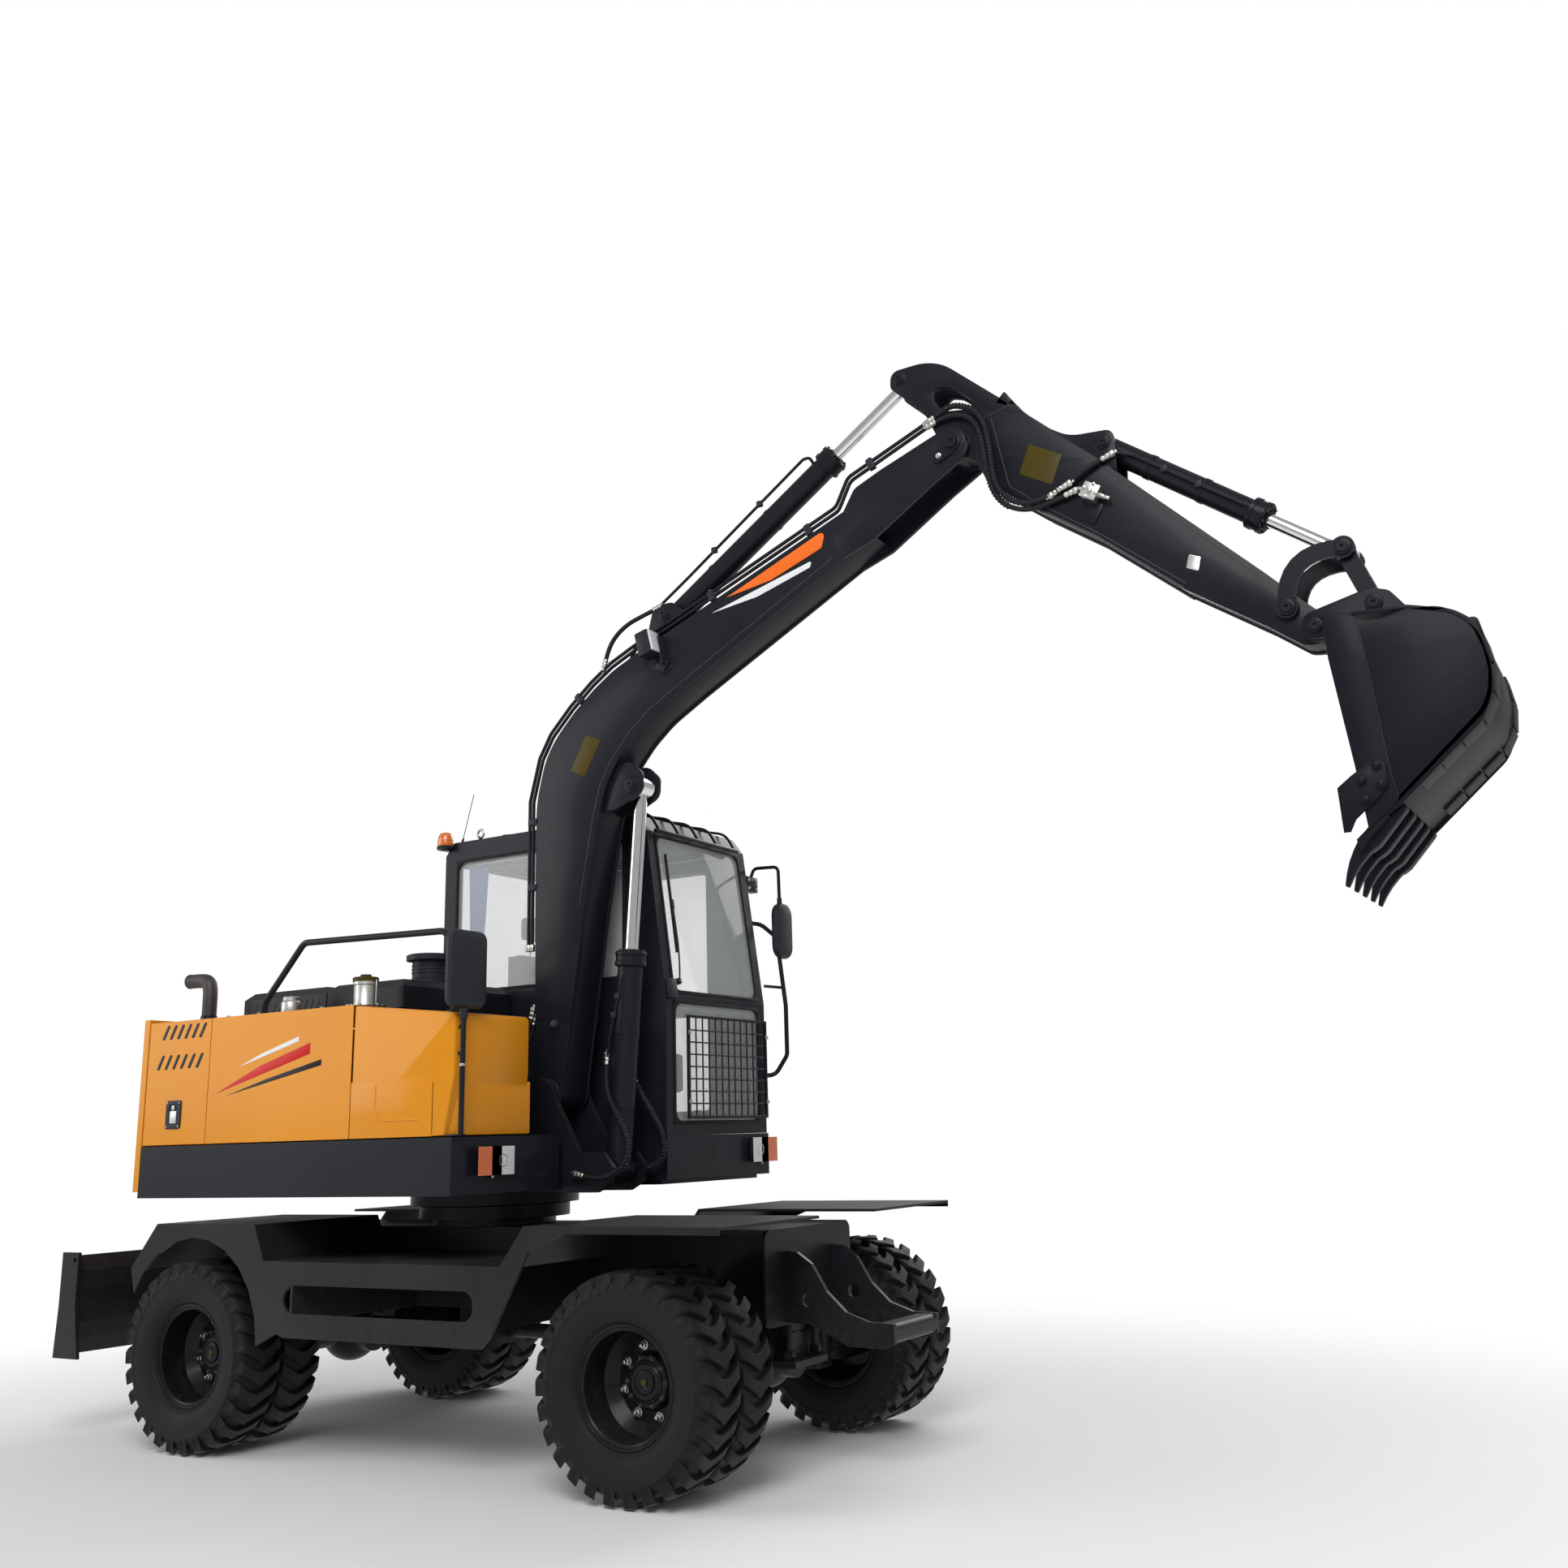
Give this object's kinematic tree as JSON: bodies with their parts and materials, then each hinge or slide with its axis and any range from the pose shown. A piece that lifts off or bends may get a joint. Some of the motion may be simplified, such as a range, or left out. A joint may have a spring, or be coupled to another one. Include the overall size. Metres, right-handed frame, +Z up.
{
  "type": "wheeled excavator",
  "caption": "Full-size wheeled excavator with twin wheels, dozer blade, slewing upper, cab and an articulated boom, stick and bucket.",
  "frame": {"origin": "on the ground, midway between the axles, on the centre line", "axes": "+X forwards to the boom and bucket, +Y to the left (cab side), +Z up"},
  "size_m": [6.93, 2.315, 4.87],
  "materials": {
    "tyre": "moulded rubber",
    "rim_black": "satin black paint",
    "yellow_paint": "semi-gloss yellow paint",
    "dark_paint": "satin charcoal paint",
    "window_glass": "clear glass",
    "seat_fabric": "woven fabric",
    "curtain_fabric": "woven cloth",
    "interior_plastic": "grained plastic",
    "lamp_lens": "clear and amber lens",
    "beacon_plastic": "amber lens",
    "bright_rod": "ground and plated",
    "wear_steel": "dark paint over steel",
    "engine_iron": "cast"
  },
  "bodies": {
    "undercarriage": {"chassis_frame": "dark_paint", "side_frames": "dark_paint", "front_bracket": "dark_paint", "front_axle": "dark_paint", "rear_axle": "dark_paint", "drive_line": "dark_paint", "axle_lock_cylinders": "dark_paint", "turntable_base": "dark_paint"},
    "steering_slide": {"steering_rod": "bright_rod"},
    "knuckle_right": {"knuckle_right": "dark_paint"},
    "knuckle_left": {"knuckle_left": "dark_paint"},
    "wheels_front_right": {"tyres_front_right": "tyre", "rims_front_right": "rim_black"},
    "wheels_front_left": {"tyres_front_left": "tyre", "rims_front_left": "rim_black"},
    "wheels_rear_right": {"tyres_rear_right": "tyre", "rims_rear_right": "rim_black"},
    "wheels_rear_left": {"tyres_rear_left": "tyre", "rims_rear_left": "rim_black"},
    "blade": {"blade": "dark_paint"},
    "blade_ram_barrel": {"blade_cylinder_barrel": "dark_paint"},
    "blade_ram_rod": {"blade_cylinder_rod": "bright_rod"},
    "upper": {"revolving_frame": "dark_paint", "skirts": "dark_paint", "counterweight": "yellow_paint", "engine_block": "engine_iron", "service_panels": "yellow_paint", "tank_and_toolbox": "yellow_paint", "deck_cover": "dark_paint", "rails_and_mirrors": "dark_paint", "deck_fittings": "dark_paint", "corner_lamps": "lamp_lens", "cab_base": "dark_paint", "cab_shell": "dark_paint", "cab_glass": "window_glass", "front_guard": "dark_paint", "seat": "seat_fabric", "controls": "interior_plastic", "curtain": "curtain_fabric", "roof_fittings": "beacon_plastic"},
    "hood": {"hood": "dark_paint"},
    "side_door_right": {"side_door_right": "yellow_paint"},
    "side_door_left": {"side_door_left": "yellow_paint"},
    "cab_door": {"cab_door": "dark_paint", "cab_door_glass": "window_glass"},
    "boom": {"boom": "dark_paint", "boom_pipes": "dark_paint"},
    "boom_ram_barrel": {"boom_cylinder_barrel": "dark_paint"},
    "boom_ram_rod": {"boom_cylinder_rod": "bright_rod"},
    "arm_ram_barrel": {"arm_cylinder_barrel": "dark_paint"},
    "arm_ram_rod": {"arm_cylinder_rod": "bright_rod"},
    "stick": {"stick": "dark_paint"},
    "bucket_ram_barrel": {"bucket_cylinder_barrel": "dark_paint"},
    "bucket_ram_rod": {"bucket_cylinder_rod": "bright_rod"},
    "rocker": {"rocker": "dark_paint"},
    "bucket": {"bucket": "wear_steel"},
    "bucket_link": {"bucket_link": "dark_paint"}
  },
  "joints": [
    {"name": "swing", "type": "hinge", "parent": "undercarriage", "child": "upper", "pos_m": [-0.3, 0, 1.07], "axis": [0, 0, 1], "continuous": true},
    {"name": "boom", "type": "hinge", "parent": "upper", "child": "boom", "pos_m": [0.2, -0.1, 1.585], "axis": [0, -1, 0], "range_deg": [-80, 11]},
    {"name": "stick", "type": "hinge", "parent": "boom", "child": "stick", "pos_m": [2.55, -0.1, 4.408], "axis": [0, 1, 0], "range_deg": [-52, 62]},
    {"name": "bucket", "type": "hinge", "parent": "stick", "child": "bucket", "pos_m": [4.035, -0.1, 3.222], "axis": [0, 1, 0], "range_deg": [-62, 95]},
    {"name": "boom_ram_turn", "type": "hinge", "parent": "upper", "child": "boom_ram_barrel", "pos_m": [0.557, -0.1, 1.232], "axis": [0, -1, 0], "range_deg": [-90, 20]},
    {"name": "boom_ram_slide", "type": "slide", "parent": "boom_ram_barrel", "child": "boom_ram_rod", "axis": [0.0773, 0, 0.997], "range_m": [-0.7, 0.12]},
    {"name": "arm_ram_turn", "type": "hinge", "parent": "boom", "child": "arm_ram_barrel", "pos_m": [0.915, -0.1, 3.925], "axis": [0, 1, 0], "range_deg": [-15, 15]},
    {"name": "arm_ram_slide", "type": "slide", "parent": "arm_ram_barrel", "child": "arm_ram_rod", "axis": [0.8366, 0, 0.5478], "range_m": [-0.45, 0.5]},
    {"name": "bucket_ram_turn", "type": "hinge", "parent": "stick", "child": "bucket_ram_barrel", "pos_m": [3.24, -0.1, 4.235], "axis": [0, 1, 0], "range_deg": [-15, 15]},
    {"name": "bucket_ram_slide", "type": "slide", "parent": "bucket_ram_barrel", "child": "bucket_ram_rod", "axis": [0.7937, 0, -0.6083], "range_m": [-0.3, 0.32]},
    {"name": "rocker_turn", "type": "hinge", "parent": "stick", "child": "rocker", "pos_m": [3.931, -0.1, 3.326], "axis": [0, 1, 0], "range_deg": [-70, 80]},
    {"name": "link_turn", "type": "hinge", "parent": "bucket", "child": "bucket_link", "pos_m": [4.258, -0.1, 3.268], "axis": [0, 1, 0], "range_deg": [-80, 60]},
    {"name": "steering", "type": "hinge", "parent": "undercarriage", "child": "knuckle_right", "pos_m": [1.285, -0.5, 0.4325], "axis": [0, 0, 1], "range_deg": [-28, 28]},
    {"name": "knuckle_left_turn", "type": "hinge", "parent": "undercarriage", "child": "knuckle_left", "pos_m": [1.285, 0.5, 0.4325], "axis": [0, 0, 1], "range_deg": [-30, 30]},
    {"name": "steering_slide", "type": "slide", "parent": "undercarriage", "child": "steering_slide", "axis": [0, 1, 0], "range_m": [-0.12, 0.12]},
    {"name": "roll_front_right", "type": "hinge", "parent": "knuckle_right", "child": "wheels_front_right", "pos_m": [1.285, -0.824, 0.4325], "axis": [0, 1, 0], "continuous": true},
    {"name": "roll_front_left", "type": "hinge", "parent": "knuckle_left", "child": "wheels_front_left", "pos_m": [1.285, 0.824, 0.4325], "axis": [0, 1, 0], "continuous": true},
    {"name": "roll_rear_right", "type": "hinge", "parent": "undercarriage", "child": "wheels_rear_right", "pos_m": [-1.285, -0.824, 0.4325], "axis": [0, 1, 0], "continuous": true},
    {"name": "roll_rear_left", "type": "hinge", "parent": "undercarriage", "child": "wheels_rear_left", "pos_m": [-1.285, 0.824, 0.4325], "axis": [0, 1, 0], "continuous": true},
    {"name": "blade", "type": "hinge", "parent": "undercarriage", "child": "blade", "pos_m": [-1.62, 0, 0.64], "axis": [0, 1, 0], "range_deg": [-30, 20]},
    {"name": "blade_ram_turn", "type": "hinge", "parent": "undercarriage", "child": "blade_ram_barrel", "pos_m": [-1.622, 0, 0.88], "axis": [0, 1, 0], "range_deg": [-30, 30]},
    {"name": "blade_ram_slide", "type": "slide", "parent": "blade_ram_barrel", "child": "blade_ram_rod", "axis": [-0.801, 0, -0.5987], "range_m": [-0.2, 0.2]},
    {"name": "hood", "type": "hinge", "parent": "upper", "child": "hood", "pos_m": [-1.436, 0, 2.045], "axis": [0, -1, 0], "range_deg": [0, 62]},
    {"name": "side_door_right", "type": "hinge", "parent": "upper", "child": "side_door_right", "pos_m": [-1.739, -1.02, 1.7], "axis": [0, 0, -1], "range_deg": [0, 80]},
    {"name": "side_door_left", "type": "hinge", "parent": "upper", "child": "side_door_left", "pos_m": [-1.739, 1.03, 1.7], "axis": [0, 0, 1], "range_deg": [0, 80]},
    {"name": "cab_door", "type": "hinge", "parent": "upper", "child": "cab_door", "pos_m": [-0.322, 1.03, 2.1], "axis": [0, 0, 1], "range_deg": [0, 150]}
  ],
  "couplings": [
    {"joint": "boom_ram_turn", "follows": "boom", "ratio": 0.9547},
    {"joint": "boom_ram_slide", "follows": "boom", "m_per_rad": 0.4603},
    {"joint": "arm_ram_turn", "follows": "stick", "ratio": 0.024},
    {"joint": "arm_ram_slide", "follows": "stick", "m_per_rad": 0.4214},
    {"joint": "rocker_turn", "follows": "bucket", "ratio": 0.6166},
    {"joint": "link_turn", "follows": "bucket", "ratio": -0.6063},
    {"joint": "bucket_ram_turn", "follows": "bucket", "ratio": 0.0528},
    {"joint": "bucket_ram_slide", "follows": "bucket", "m_per_rad": 0.1646},
    {"joint": "knuckle_left_turn", "follows": "steering", "ratio": 1},
    {"joint": "steering_slide", "follows": "steering", "m_per_rad": -0.2},
    {"joint": "blade_ram_turn", "follows": "blade", "ratio": 0.6928},
    {"joint": "blade_ram_slide", "follows": "blade", "m_per_rad": -0.1834}
  ]
}
